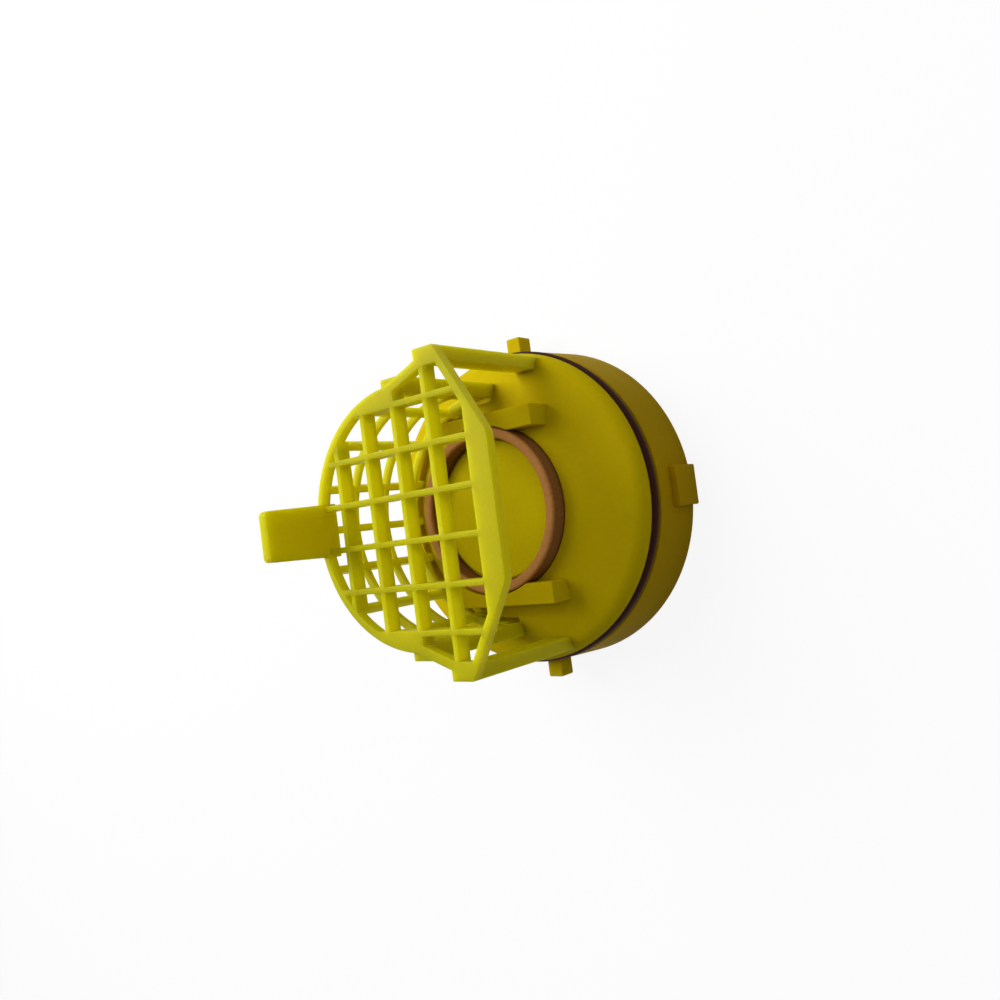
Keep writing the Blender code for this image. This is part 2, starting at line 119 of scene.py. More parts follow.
class QueenCageDrum(bpy.types.PropertyGroup):
    """Sizes of the sealed drum, its stopper and its feed"""

    gap: length("Gap", "Play between neighbouring pieces", 0.3)
    edge: length("Edge round", "Rounding of the drum's moulded edges", 0.18)
    sink: length("Sink", "How far joined shapes run into each other", 0.05)
    wall: length("Wall", "Wall of the front shell", 1.8)
    joint: length("Joint", "Width of the joint between the halves", 1.8)
    seal_radius: length("Seal radius", "Outer radius of the brown ring", 20.0)
    seal_width: length("Seal width", "Radial width of the brown ring", 1.9)
    seal_thickness: length("Seal thickness", "Thickness of the brown ring", 1.6)
    cap_radius: length("Cap radius", "Radius of the cap at its back", 20.3)
    cap_rim: length("Cap rim", "Radius of the cap at the joint", 20.0)
    cap_wall: length("Cap wall", "Wall of the cap", 1.5)
    cap_floor: length("Cap floor", "Floor of the cap", 1.8)
    cap_fillet: length("Cap fillet", "Rounding between the cap's floor and wall", 0.6)
    cap_round: length("Cap edge", "Rounding of the cap's back edge", 0.4)
    lug_width: length("Lug width", "Width of a grip lug", 4.9)
    lug_rise: length("Lug rise", "How far a grip lug stands out", 0.65)
    lug_length: length("Lug length", "Height of the top of a grip lug", 5.0)
    pin_width: length("Pin width", "Width of a side pin", 2.15)
    pin_depth: length("Pin depth", "Size of a side pin along the drum", 2.5)
    pin_tip: length("Pin tip", "Radius that a side pin reaches", 22.5)
    pin_height: length("Pin height", "Height of the middle of a side pin", 4.45)
    rim_radius: length("Shell rim", "Radius of the front shell at the joint", 19.7)
    cone_angle: angle("Cone angle", "Slope of the front shell", 18.0)
    cone_radius: length("Cone top radius", "Radius at which the cone's top height is taken", 10.5)
    cone_rise: length("Cone rise", "Height of the cone's top above the joint", 5.15)
    shoulder: length("Shoulder", "Rounding between the cone and the rim", 2.2)
    groove: angle("Groove span", "Angle that the groove for the basket's feet covers", 185.0)
    neck: length("Neck radius", "Radius of the shell inside the brown ring", 17.8)
    skirt: length("Skirt radius", "Outer radius of the shell's skirt", 16.8)
    skirt_wall: length("Skirt wall", "Wall of the shell's skirt", 1.6)
    skirt_bottom: length("Skirt bottom", "Height of the lower edge of the skirt", 3.7)
    ledge_span: angle("Ledge span", "Angle that a ledge of the twist lock covers", 68.0)
    ledge_radius: length("Ledge radius", "Inner radius of the ledges of the twist lock", 17.2)
    ledge: length("Ledge", "Thickness of the ledges and keys of the twist lock", 1.6)
    key_span: angle("Key span", "Angle that a key of the twist lock covers", 30.0)
    key_radius: length("Key radius", "Outer radius of the keys of the twist lock", 18.2)
    rail_left: length("Rail left", "Left end of a guide rail", -5.9)
    rail_right: length("Rail right", "Right end of a guide rail", 8.8)
    rail_inner: length("Rail inner", "Near side of a guide rail", 9.25)
    rail_outer: length("Rail outer", "Far side of a guide rail", 11.85)
    rail_rise: length("Rail rise", "Height of the rails above the joint", 7.35)
    stopper_radius: length("Stopper radius", "Radius of the stopper's head", 8.75)
    stopper_lift: length("Stopper lift", "Height of the stopper above the cone's top", 0.1)
    stopper_round: length("Stopper edge", "Rounding of the stopper's head", 0.3)
    spigot_wall: length("Spigot wall", "Wall of the stopper's hollow spigot", 1.3)
    ring_inner: length("Ring inner", "Inner radius of the copper ring", 9.1)
    ring_outer: length("Ring outer", "Outer radius of the copper ring", 10.35)
    ring_gap: length("Ring gap", "Play between the copper ring and the shell", 0.1)
    ring_round: length("Ring edge", "Rounding of the copper ring", 0.4)
    flange_drop: length("Flange drop", "Depth of the stopper's flange below the cone's top", 0.7)
    flange: length("Flange", "Thickness of the stopper's flange", 1.0)
    seat_radius: length("Seat radius", "Radius of the hole that takes the stopper", 9.4)
    seat_rise: length("Seat rise", "Height of the lower end of the stopper's spigot above the joint", 1.95)
    candy_radius: length("Candy radius", "Radius of the feed cake", 14.7)
    candy_height: length("Candy height", "Thickness of the feed cake", 2.9)
    candy_round: length("Candy edge", "Rounding of the feed cake", 0.8)


class QueenCageBasket(bpy.types.PropertyGroup):
    """Sizes of the mesh basket, its straps and its tab"""

    front: length("Grid front", "Height of the grid's front above the joint", 21.1)
    depth: length("Rib depth", "Depth of the ribs of the grid", 2.0)
    pitch: length("Mesh pitch", "Distance between the ribs", 5.13)
    rib: length("Rib width", "Width of a rib", 0.7)
    edge: length("Edge round", "Rounding of the moulded edges", 0.12)
    inset: length("Inset", "How far one set of ribs lies behind the next", 0.03)
    radius: length("Basket radius", "Outer radius of the half-round wall", 15.0)
    rim: length("Rim width", "Width of the rim round the grid", 0.9)
    rim_depth: length("Rim depth", "Depth of the rim", 1.3)
    wall: length("Wall", "Thickness of the half-round wall", 1.0)
    upright: length("Upright", "Width of an upright of the wall", 0.9)
    foot: length("Foot", "Depth of the wall's feet in the shell", 1.1)
    strap_left: length("Strap left", "Left side of a strap", 4.2)
    strap_right: length("Strap right", "Right side of a strap", 7.2)
    strap_inner: length("Strap inner", "Where the edge of the rim meets a strap", 16.9)
    strap_back: length("Strap back", "Inner face of a strap behind the grid", 16.45)
    strap_outer: length("Strap outer", "Outer face of a strap", 18.1)
    bar_left: length("Bar left", "Left edge of the front bar", 10.3)
    bar_right: length("Bar right", "Right edge of the front bar", 13.2)
    bar_round: length("Bar bend", "Rounding of the bends of the front bar", 2.4)
    bar_lean: angle("Bar lean", "Slant of the front bar's sides", 30.0)
    post_left: length("Post left", "Left side of an edge post", -1.9)
    post_right: length("Post right", "Right side of an edge post", 1.0)
    post_inner: length("Post inner", "Inner face of an edge post", 14.2)
    post_outer: length("Post outer", "Outer face of an edge post", 16.0)
    tab_root: length("Tab root", "Width of the tab at the grid", 6.5)
    tab_tip: length("Tab tip", "Width of the tab at its tip", 5.9)
    tab_thickness: length("Tab thickness", "Thickness of the tab", 1.4)
    tab_round: length("Tab corners", "Rounding of the tab's corners", 0.6)
    tab_edge: length("Tab edge", "Rounding of the tab's edges", 0.2)
    rim_start: angle("Rim start", "Angle at which the half circle of the rim begins", 93.0)


class QueenCageFinish(bpy.types.PropertyGroup):
    """Colours and sheen of the moulded plastic, the rubber rings and the feed, with painted light and shade
    on the cap, the stopper and the copper ring
    """

    # The cap's colour is a darker, more orange copy of the drum's plastic: painted shade for the shaded back
    # cap. Its pins keep the drum's own colour.
    cap: colour("Cap", "Yellow plastic of the back cap", (0.465, 0.29, 0.001))
    drum: colour("Drum", "Yellow plastic of the front shell", (0.595, 0.448, 0.001))
    # The stopper's plastic is paler than the shell's: painted light that makes up for the shade of the grid
    # over the stopper's disc.
    stopper: colour("Stopper", "Yellow plastic of the stopper", (0.66, 0.53, 0.001))
    basket: colour("Basket", "Yellow-green plastic of the basket", (0.505, 0.45, 0.002))
    seal: colour("Seal", "Dark brown rubber of the joint", (0.038, 0.010, 0.005))
    # The copper ring's two colours are shaded and lit copies of one rubber: ring is darkened for painted
    # shade on the wall, and the top face colour is paler for painted light.
    ring: colour("Ring", "Copper-brown rubber of the stopper", (0.25, 0.100, 0.025))
    ring_top_painted_light: colour("Ring face", "Rubbed top face of the copper-brown ring", (0.56, 0.245, 0.070))
    candy: colour("Candy", "Sugar paste", (0.83, 0.78, 0.66))
    # Depth of the ring's top band with painted light.
    painted_light_band: length("Rubbed depth", "How far down the copper ring its top face is rubbed", 0.45)
    tip_fade: length("Tip fade", "Length over which the cap's colour fades into that of the pins", 0.45)
    drum_gloss: share("Drum gloss", "Specular level of the drum's plastic", 0.02)
    basket_gloss: share("Basket gloss", "Specular level of the basket's plastic", 0.05)
    drum_rough: share("Drum roughness", "Least roughness of the drum's plastic", 0.56)
    basket_rough: share("Basket roughness", "Least roughness of the basket's plastic", 0.34)
    drum_glow: share("Drum glow", "How much of the light sinks into the drum's plastic", 0.4)
    drum_depth: length("Drum depth", "How far light sinks into the drum's plastic", 1.4)
    basket_glow: share("Basket glow", "How much of the light sinks into the basket's plastic", 1.0)
    basket_depth: length("Basket depth", "How far light sinks into the basket's plastic", 6.5)
    scatter: colour("Scatter", "Colour of the light that sinks into the plastic", (1.0, 0.85, 0.05))
    seal_dust: share("Seal dust", "How much dust lies on the brown ring", 0.15)
    ring_dust: share("Ring dust", "How much dust lies on the copper ring", 0.5)


class QueenCageStage(bpy.types.PropertyGroup):
    """Camera, light and floor"""

    lens: bpy.props.FloatProperty(
        name="Lens", description="Focal length of the camera", default=31.885, subtype="DISTANCE_CAMERA")
    camera_place: bpy.props.FloatVectorProperty(
        name="Camera place", description="Camera, from the middle of the joint",
        default=(0.07062, -0.00289, 0.09038), size=3, subtype="TRANSLATION")
    camera_turn: bpy.props.FloatVectorProperty(
        name="Camera turn", description="Rotation of the camera",
        default=(-0.0682, 0.6838, -0.1657), size=3, subtype="EULER")
    surround: bpy.props.FloatProperty(
        name="Surround", description="Strength of the even light from all round", default=0.135)
    key: bpy.props.FloatProperty(
        name="Key light", description="Power of the large soft lamp", default=1.27, subtype="POWER")
    fill: bpy.props.FloatProperty(
        name="Fill light", description="Power of the weak soft lamp", default=0.16, subtype="POWER")
    key_place: bpy.props.FloatVectorProperty(
        name="Key place", description="Large soft lamp, from the middle of the joint",
        default=(-0.168, 0.147, 0.283), size=3, subtype="TRANSLATION")
    fill_place: bpy.props.FloatVectorProperty(
        name="Fill place", description="Weak soft lamp, from the middle of the joint",
        default=(0.21, 0.10, 0.25), size=3, subtype="TRANSLATION")
    lamp_width: length("Lamp width", "Side of the soft lamps", 250.0)
    floor: colour("Floor", "Pale floor", (0.5, 0.5, 0.5))


class Socket:
    """A shader value that takes part in sums, and adds the nodes that it needs."""

    def __init__(self, tree, output):
        self.tree = tree
        self.output = output

    def node(self, kind, settings=None, sockets=None, result=0):
        """Adds a node, with its settings first and then its sockets, and returns one of its outputs."""
        item = self.tree.nodes.new(kind)
        for key, value in (settings or {}).items():
            if key == "stops":
                set_stops(item.color_ramp, value)
            else:
                setattr(item, key, value)
        feed(item, sockets or {})
        return Socket(self.tree, item.outputs[result])

    def math(self, operation, first, second):
        """Adds a Math node for two values."""
        return self.node("ShaderNodeMath", {"operation": operation}, {0: first, 1: second})

    def __add__(self, other):
        return self.math("ADD", self, other)

    def __radd__(self, other):
        return self.math("ADD", other, self)

    def __sub__(self, other):
        return self.math("SUBTRACT", self, other)

    def __rsub__(self, other):
        return self.math("SUBTRACT", other, self)

    def __mul__(self, other):
        return self.math("MULTIPLY", self, other)

    def __rmul__(self, other):
        return self.math("MULTIPLY", other, self)

    def mix(self, first, second):
        """Mixes two colours by this value."""
        return self.node("ShaderNodeMix", {"data_type": "RGBA"}, {0: self, 6: first, 7: second}, 2)

    def scaled(self, tint):
        """Makes a colour lighter or darker by this value."""
        return self.node("ShaderNodeVectorMath", {"operation": "SCALE"}, {0: tint, "Scale": self})

    def noise(self, scale, detail=3.0, roughness=0.55):
        """Returns fractal noise at this position."""
        return self.node("ShaderNodeTexNoise", None, {
            "Vector": self, "Scale": scale, "Detail": detail, "Roughness": roughness})

    def bump(self, strength, distance):
        """Returns a normal that this height disturbs."""
        return self.node("ShaderNodeBump", None, {
            "Height": self, "Strength": strength, "Distance": distance})


# Noise scales of the finishes, per metre
FLOW_SCALE = 90.0
SPECK_SCALE = 1900.0
GRAIN_SCALE = 5200.0
CLOUD_SCALE = 260.0
DUST_SCALE = 2300.0
LUMP_SCALE = 420.0
SUGAR_SCALE = 3000.0
PAPER_SCALE = 40.0

# Plastic: how much flow and specks change its colour, roughness and height
SPECK_STOPS = ((0.35, 0.0), (0.65, 1.0))
FLOW_DRIFT = 0.14
SPECK_DRIFT = 0.05
SPECK_ROUGH = 0.12
SPECK_HEIGHT = 0.8
PLASTIC_RELIEF = 0.02 * MM

# Rubber: dark, pale and dusty tones, plain and on a top band with painted light, and its sheen
DUST_STOPS = ((0.42, 0.0), (0.72, 1.0))
RUBBER_TONES = (0.82, 1.15, 1.7)
PAINTED_LIGHT_TONES = (0.9, 1.1, 1.3)
PAINTED_LIGHT_WAVER = 0.1 * MM
RUBBER_ROUGH = 0.48
DUST_ROUGH = 0.2
RUBBER_GLOSS = 0.06
CLOUD_HEIGHT = 0.5
RUBBER_RELIEF = 0.04 * MM

# Sugar paste: tones, roughness, lumps and the light that sinks in
SUGAR_TONES = (0.86, 1.08)
SUGAR_ROUGH = 0.62
SUGAR_SPREAD = 0.25
LUMP_HEIGHT = 1.5
SUGAR_RELIEF = 0.1 * MM
SUGAR_GLOW = 0.25
SUGAR_SCATTER = (1.0, 0.9, 0.7)
SUGAR_DEPTH = 1.2 * MM

# Floor paper: its darker tone, its roughness, and how white it is to the camera
PAPER_SHADE = 0.985
PAPER_ROUGH = 0.9
PAPER_GLOW = 0.9

# Floor and camera
FLOOR_REACH = 1.5
FLOOR_SEGMENTS = 8
SENSOR_WIDTH = 36.0
CLIP_START = 0.001


def set_stops(ramp, stops):
    """Sets the stops of a colour ramp from (position, grey) pairs."""
    while len(ramp.elements) < len(stops):
        ramp.elements.new(1.0)
    for element, (position, grey) in zip(ramp.elements, stops):
        element.position = position
        element.color = (grey, grey, grey, 1.0)


def new_material(name):
    """Returns a material, its Principled shader and the Object coordinates to build on."""
    material = bpy.data.materials.new(name)
    material.use_nodes = True
    tree = material.node_tree
    shader = tree.nodes["Principled BSDF"]
    start = tree.nodes.new("ShaderNodeTexCoord")
    return material, shader, Socket(tree, start.outputs["Object"])


def feed(item, sockets):
    """Sets or links the input sockets of a node."""
    for key, value in sockets.items():
        if isinstance(value, Socket):
            value.tree.links.new(value.output, item.inputs[key])
        else:
            item.inputs[key].default_value = value


def shade(rgb, factor):
    """Returns a colour with its brightness changed, as four numbers."""
    return tuple(min(1.0, part * factor) for part in rgb) + (1.0,)


def moulded_plastic(name, finish, part, rgb, tips=None, reach=None):
    """Moulded plastic that light sinks into: slow colour drift from the mould's flow and a fine texture.

    Part is "drum" or "basket", and chooses the gloss and the glow. Where tips is given, it is the colour
    of the thin parts that stand out further than reach along Y, and rgb elsewhere is a darker copy of the
    plastic, painted shade.
    """
    material, shader, place = new_material(name)
    flow = place.noise(FLOW_SCALE, detail=2.0)
    speck = place.noise(SPECK_SCALE, detail=4.0, roughness=0.6)
    grain = place.noise(GRAIN_SCALE, detail=3.0, roughness=0.6)
    spots = speck.node("ShaderNodeValToRGB", {"stops": SPECK_STOPS}, {0: speck})
    tint = tuple(rgb)
    # On the back cap, rgb is a darker, more orange copy of the plastic, painted shade, and the tips take the
    # plastic's own colour.
    if tips:
        across = place.node("ShaderNodeSeparateXYZ", None, {0: place}, 1)
        thin = across.node("ShaderNodeMapRange", None, {
            "Value": across * across, "From Min": reach ** 2, "From Max": (reach + finish.tip_fade) ** 2})
        tint = thin.mix(shade(rgb, 1.0), shade(tips, 1.0))
    feed(shader, {
        "Base Color": (1.0 - FLOW_DRIFT / 2 + flow * FLOW_DRIFT + spots * SPECK_DRIFT).scaled(tint),
        "Roughness": getattr(finish, f"{part}_rough") + speck * SPECK_ROUGH,
        "Normal": (grain + speck * SPECK_HEIGHT).bump(strength=0.1, distance=PLASTIC_RELIEF),
        "Specular IOR Level": getattr(finish, f"{part}_gloss"),
        "Subsurface Weight": getattr(finish, f"{part}_glow"),
        "Subsurface Radius": finish.scatter,
        "Subsurface Scale": getattr(finish, f"{part}_depth"),
    })
    return material


def rubber(name, rgb, dust, face=None, span=None):
    """Moulded rubber with a dusty speckle.

    Where face is given, it is the paler colour that the rubber takes between the two heights of span:
    painted light, as on a lit top face.
    """
    material, shader, place = new_material(name)
    cloud = place.noise(CLOUD_SCALE, detail=3.0)
    fine = place.noise(DUST_SCALE, detail=4.0, roughness=0.7)
    specks = fine.node("ShaderNodeValToRGB", {"stops": DUST_STOPS}, {0: fine})
    dark, pale, dusty = [shade(rgb, factor) for factor in RUBBER_TONES]
    # Painted light: between the heights of span the paler face colour, as on a lit top, takes over from the
    # darker rubber below.
    if face:
        height = place.node("ShaderNodeSeparateXYZ", None, {0: place}, 2)
        painted_light_band = height.node("ShaderNodeMapRange", None, {
            "Value": height + fine * PAINTED_LIGHT_WAVER, "From Min": span[0], "From Max": span[1]})
        with_painted_light = [shade(face, factor) for factor in PAINTED_LIGHT_TONES]
        dark, pale, dusty = [painted_light_band.mix(*pair) for pair in zip((dark, pale, dusty), with_painted_light)]
    feed(shader, {
        "Base Color": (specks * dust).mix(cloud.mix(dark, pale), dusty),
        "Roughness": RUBBER_ROUGH + fine * DUST_ROUGH,
        "Specular IOR Level": RUBBER_GLOSS,
        "Normal": (fine + cloud * CLOUD_HEIGHT).bump(strength=0.25, distance=RUBBER_RELIEF),
    })
    return material


def sugar_paste(name, rgb):
    """Matt sugar paste with a grainy, slightly translucent surface."""
    material, shader, place = new_material(name)
    lumps = place.noise(LUMP_SCALE, detail=4.0)
    grains = place.noise(SUGAR_SCALE, detail=3.0, roughness=0.7)
    dark, pale = [shade(rgb, factor) for factor in SUGAR_TONES]
    feed(shader, {
        "Base Color": lumps.mix(dark, pale),
        "Roughness": SUGAR_ROUGH + grains * SUGAR_SPREAD,
        "Normal": (grains + lumps * LUMP_HEIGHT).bump(strength=0.5, distance=SUGAR_RELIEF),
        "Subsurface Weight": SUGAR_GLOW,
        "Subsurface Radius": SUGAR_SCATTER,
        "Subsurface Scale": SUGAR_DEPTH,
    })
    return material


def direct_rays(tree):
    """Returns 1 for rays that come from the camera, straight, mirrored or through a clear piece."""
    path = tree.nodes.new("ShaderNodeLightPath")
    seen, mirrored, through = [
        Socket(tree, path.outputs[f"Is {kind} Ray"]) for kind in ("Camera", "Glossy", "Transmission")]
    return seen.math("MAXIMUM", seen.math("MAXIMUM", seen, mirrored), through)


def pale_floor(name, rgb):
    """White to the camera apart from a faint shadow, and plain pale paper to everything else."""
    material, shader, place = new_material(name)
    tree = material.node_tree
    direct = direct_rays(tree)
    paper = place.noise(PAPER_SCALE, detail=2.0)
    glow = direct.node("ShaderNodeEmission", None, {"Color": WHITE, "Strength": 1.0})
    sheet = paper.mix(shade(rgb, PAPER_SHADE), shade(rgb, 1.0))
    feed(shader, {"Base Color": direct.mix(sheet, WHITE), "Roughness": PAPER_ROUGH})
    mixed = direct.node("ShaderNodeMixShader", None, {
        0: direct * PAPER_GLOW, 1: Socket(tree, shader.outputs[0]), 2: glow})
    tree.links.new(mixed.output, tree.nodes["Material Output"].inputs["Surface"])
    return material


def arc(centre, radius, start, end, steps):
    """Returns points along a circular arc, both ends included."""
    turns = [start + (end - start) * step / steps for step in range(steps + 1)]
    return [(centre[0] + radius * math.cos(turn), centre[1] + radius * math.sin(turn)) for turn in turns]


def placed(name, shape):
    """Turns a bmesh into an object at the origin, closed and with its faces pointing outwards."""
    bmesh.ops.remove_doubles(shape, verts=shape.verts, dist=MERGE)
    bmesh.ops.recalc_face_normals(shape, faces=shape.faces)
    mesh = bpy.data.meshes.new(name)
    shape.to_mesh(mesh)
    shape.free()
    item = bpy.data.objects.new(name, mesh)
    bpy.context.scene.collection.objects.link(item)
    return item


def soften(shape, edges, width, segments=EDGE_SEGMENTS):
    """Rounds edges of a bmesh."""
    bmesh.ops.bevel(shape, geom=edges, offset=width, offset_type="OFFSET", affect="EDGES",
                    segments=segments, profile=0.5, material=-1, clamp_overlap=True)


def round_corners(shape, verts, width, segments):
    """Rounds corners of a flat face."""
    bmesh.ops.bevel(shape, geom=verts, offset=width, offset_type="OFFSET", affect="VERTICES",
                    segments=segments, profile=0.5, material=-1)


def thicken(shape, offset, edge, segments=EDGE_SEGMENTS):
    """Extrudes the flat faces of a bmesh into a closed solid and rounds its edges."""
    grown = bmesh.ops.extrude_face_region(shape, geom=shape.faces[:])["geom"]
    moved = [part for part in grown if isinstance(part, bmesh.types.BMVert)]
    bmesh.ops.translate(shape, vec=offset, verts=moved)
    bmesh.ops.recalc_face_normals(shape, faces=shape.faces)
    sharp = [item for item in shape.edges if item.is_manifold and item.calc_face_angle() > CORNER_ANGLE]
    soften(shape, sharp, edge, segments)


def block(inner, outer, low, high):
    """Returns a rectangular half section."""
    return [(inner, low), (outer, low), (outer, high), (inner, high)]


def profile_face(shape, profile):
    """Adds the half section of a turned piece in the XZ plane and rounds the corners that ask for it.

    A corner of the profile is (radius, height) or (radius, height, rounding).
    """
    corners = [shape.verts.new((corner[0], 0.0, corner[1])) for corner in profile]
    shape.faces.new(corners)
    for vert, corner in zip(corners, profile):
        if len(corner) == 3:
            round_corners(shape, [vert], corner[2], ROUND_SEGMENTS)


def turned(name, profile, steps=TURN_STEPS):
    """Spins a closed half section all the way round the Z axis."""
    shape = bmesh.new()
    profile_face(shape, profile)
    bmesh.ops.delete(shape, geom=shape.faces[:], context="FACES_ONLY")
    bmesh.ops.spin(shape, geom=shape.verts[:] + shape.edges[:], cent=(0, 0, 0), axis=(0, 0, 1),
                   angle=FULL_TURN, steps=steps, use_merge=True)
    bmesh.ops.remove_doubles(shape, verts=shape.verts, dist=MERGE)
    on_axis = [edge for edge in shape.edges if not edge.link_faces]
    bmesh.ops.delete(shape, geom=on_axis, context="EDGES")
    return placed(name, shape)


def swept(name, profile, middle, span, edge=0.0):
    """Spins a closed half section through a span about a middle angle, with closed ends."""
    shape = bmesh.new()
    profile_face(shape, profile)
    if edge:
        round_corners(shape, shape.verts[:], edge, EDGE_SEGMENTS)
    start = Matrix.Rotation(middle - span / 2, 3, "Z")
    bmesh.ops.rotate(shape, verts=shape.verts, cent=(0, 0, 0), matrix=start)
    steps = math.ceil(TURN_STEPS * span / FULL_TURN)
    geometry = shape.verts[:] + shape.edges[:] + shape.faces[:]
    bmesh.ops.spin(shape, geom=geometry, cent=(0, 0, 0), axis=(0, 0, 1), angle=span, steps=steps)
    return placed(name, shape)


def bar(name, low, high, edge, turn=0.0):
    """Makes a straight bar between two corners with rounded edges, turned about the Z axis."""
    size = Vector(high) - Vector(low)
    middle = (Vector(high) + Vector(low)) / 2
    shape = bmesh.new()
    bmesh.ops.create_cube(shape, size=1.0, matrix=Matrix.Translation(middle) @ Matrix.Diagonal((*size, 1.0)))
    soften(shape, shape.edges[:], edge)
    bmesh.ops.rotate(shape, verts=shape.verts, cent=(0, 0, 0), matrix=Matrix.Rotation(turn, 3, "Z"))
    return placed(name, shape)


def combine(target, tools, operation="UNION"):
    """Joins tools to an object, or cuts the object with them, all in one step, and removes the tools."""
    group = bpy.data.collections.new("tools")
    for tool in tools:
        group.objects.link(tool)
    step = target.modifiers.new("combine", "BOOLEAN")
    step.operation = operation
    step.solver = "EXACT"
    step.operand_type = "COLLECTION"
    step.collection = group
    result = bpy.data.meshes.new_from_object(target.evaluated_get(bpy.context.evaluated_depsgraph_get()))
    shape = bmesh.new()
    shape.from_mesh(result)
    bmesh.ops.dissolve_degenerate(shape, dist=TINY, edges=shape.edges)
    shape.to_mesh(result)
    shape.free()
    target.modifiers.clear()
    target.data = result
    for tool in tools:
        bpy.data.objects.remove(tool, do_unlink=True)
    bpy.data.collections.remove(group)
    return target


def hand_over(piece, node, body, material):
    """Finishes a piece, puts it in place of its plain solid and lets it move with its body."""
    mesh = piece.data
    if not mesh.polygons:
        raise RuntimeError(f"{piece.name} came out empty")
    mesh.materials.clear()
    mesh.materials.append(material)
    mesh.shade_smooth()
    mesh.set_sharp_from_angle(angle=SHARP_ANGLE)
    normals = piece.modifiers.new("even_normals", "WEIGHTED_NORMAL")
    normals.keep_sharp = True
    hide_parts(node)
    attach(piece, body)


def cone_height(drum, radius, rise=0.0):
    """Returns the height of the shell's cone at a radius, raised square to its surface."""
    top = JOINT_HEIGHT + drum.cone_rise
    fall = (radius - drum.cone_radius) * math.tan(drum.cone_angle)
    return top - fall + rise / math.cos(drum.cone_angle)


def shoulder_arc(drum, rise=0.0):
    """Returns the rounded edge of the shell, from its rim up to its cone."""
    radius = drum.shoulder + rise
    across = drum.rim_radius - drum.shoulder
    lean = math.pi / 2 - drum.cone_angle
    meets = across + drum.shoulder * math.cos(lean)
    centre = (across, cone_height(drum, meets) - drum.shoulder * math.sin(lean))
    start = math.asin((JOINT_HEIGHT + drum.joint / 2 - centre[1]) / radius)
    return arc(centre, radius, start, lean, SHOULDER_STEPS)


class QUEENCAGE_OT_back_cap(bpy.types.Operator):
    """Models the rear cup of the drum with its grip lugs and side pins"""

    bl_idname = "queen_cage.back_cap"
    bl_label = "Back cap"

    def execute(self, context):
        drum = context.scene.queen_cage_drum
        inner = drum.cap_rim - drum.cap_wall
        bite = drum.cap_rim - drum.cap_wall / 2
        top = JOINT_HEIGHT - drum.joint / 2
        cap = turned("cap_cup", [
            (0.0, drum.cap_floor), (0.0, 0.0), (drum.cap_radius, 0.0, drum.cap_round),
            (drum.cap_rim, top, drum.edge), (inner, top, drum.edge),
            (inner, drum.cap_floor, drum.cap_fillet)])
        ledge = block(drum.ledge_radius, bite, top - drum.ledge, top - drum.sink)
        parts = [
            swept(f"ledge_{index}", ledge, middle, drum.ledge_span)
            for index, middle in enumerate(LOCK_ANGLES)]
        for index, turn in enumerate((0.0, math.pi)):
            low = (bite, -drum.lug_width / 2, drum.cap_round / 2)
            high = (drum.cap_radius + drum.lug_rise, drum.lug_width / 2, drum.lug_length)
            parts.append(bar(f"lug_{index}", low, high, drum.edge, turn))
        for index, turn in enumerate((math.pi / 2, -math.pi / 2)):
            low = (bite, -drum.pin_width / 2, drum.pin_height - drum.pin_depth / 2)
            high = (drum.pin_tip, drum.pin_width / 2, drum.pin_height + drum.pin_depth / 2)
            parts.append(bar(f"pin_{index}", low, high, drum.edge, turn))
        combine(cap, parts)
        finish = context.scene.queen_cage_finish
        # The cap takes a darker, more orange copy of the drum's plastic, painted shade, and its pins the
        # drum's own colour.
        plastic = moulded_plastic("cap_plastic_painted_shade", finish, "drum", finish.cap, finish.drum, drum.cap_radius)
        hand_over(cap, "back_cap", "drum_back", plastic)
        return {"FINISHED"}


class QUEENCAGE_OT_main_seal(bpy.types.Operator):
    """Models the brown rubber ring in the joint of the drum"""

    bl_idname = "queen_cage.main_seal"
    bl_label = "Main seal"

    def execute(self, context):
        drum = context.scene.queen_cage_drum
        half = drum.seal_thickness / 2
        inner = drum.seal_radius - drum.seal_width
        profile = [(inner, JOINT_HEIGHT + half, drum.edge), (inner, JOINT_HEIGHT - half, drum.edge)]
        profile += arc((drum.seal_radius - half, JOINT_HEIGHT), half, -math.pi / 2, math.pi / 2, SEAL_STEPS)
        seal = turned("seal_ring", profile)
        finish = context.scene.queen_cage_finish
        dusty = rubber("seal_rubber", finish.seal, finish.seal_dust)
        hand_over(seal, "main_seal", "drum_front", dusty)
        return {"FINISHED"}


